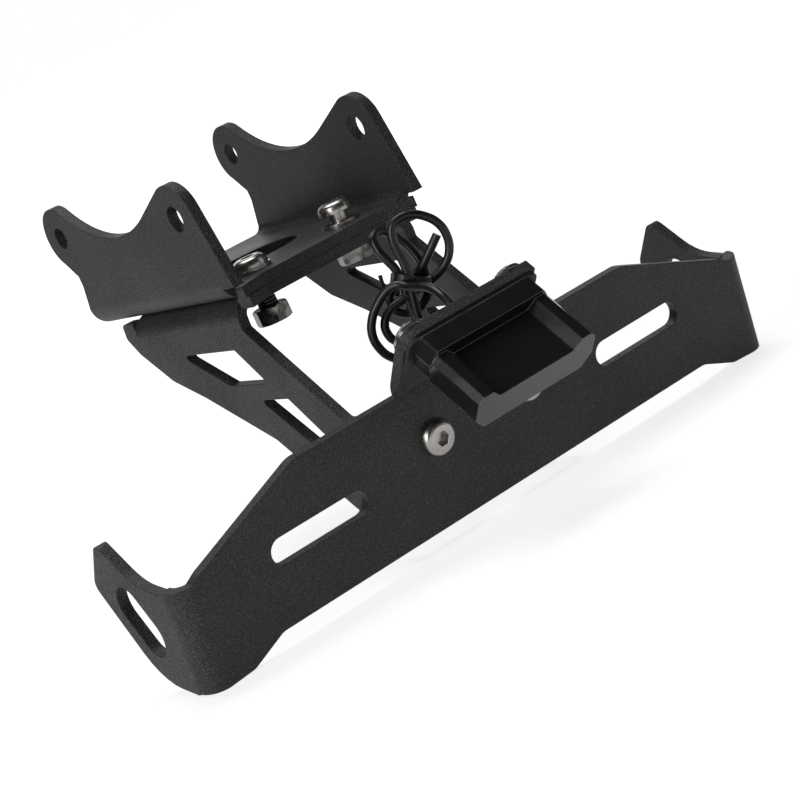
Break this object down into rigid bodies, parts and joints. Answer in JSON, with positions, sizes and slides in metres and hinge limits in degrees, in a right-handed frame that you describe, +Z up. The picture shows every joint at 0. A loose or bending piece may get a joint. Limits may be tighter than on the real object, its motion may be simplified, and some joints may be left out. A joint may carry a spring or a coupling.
{
  "type": "motorcycle tail tidy",
  "caption": "Folded steel bracket that carries a motorcycle's number plate, its light and the rear indicators under the seat.",
  "frame": {"origin": "on the axis of the rear ear holes, halfway between the two ears", "axes": "+X across the bike to the right of the view, +Y towards the front wheel, +Z up"},
  "size_m": [0.216, 0.1749, 0.1245],
  "materials": {
    "powder_coat": "satin black textured powder coat",
    "stainless": "satin stainless steel",
    "washer_steel": "bright stainless steel",
    "light_black": "gloss black",
    "lens_clear": "clear moulded",
    "board": "white solder resist",
    "led": "yellow phosphor",
    "gasket_rubber": "matt black",
    "cable_black": "smooth satin black sheath",
    "tie_black": "matt black"
  },
  "bodies": {
    "root": {"seat_bracket": "powder_coat", "arm_bracket": "powder_coat", "number_plate_bracket": "powder_coat", "bracket_bolt_left": "stainless", "bracket_washer_left": "washer_steel", "bracket_nut_left": "stainless", "plate_screw_left": "stainless", "plate_washer_left": "washer_steel", "plate_nut_left": "stainless", "light_screw_left": "stainless", "light_washer_left": "washer_steel", "bracket_bolt_right": "stainless", "bracket_washer_right": "washer_steel", "bracket_nut_right": "stainless", "plate_screw_right": "stainless", "plate_washer_right": "washer_steel", "plate_nut_right": "stainless", "light_screw_right": "stainless", "light_washer_right": "washer_steel", "light_housing": "light_black", "light_lens": "lens_clear", "light_board": "board", "light_chips": "led", "light_gasket": "gasket_rubber", "cable_grommet": "gasket_rubber", "cable_lead": "cable_black", "cable_hank": "cable_black", "cable_tie": "tie_black"}
  },
  "joints": []
}
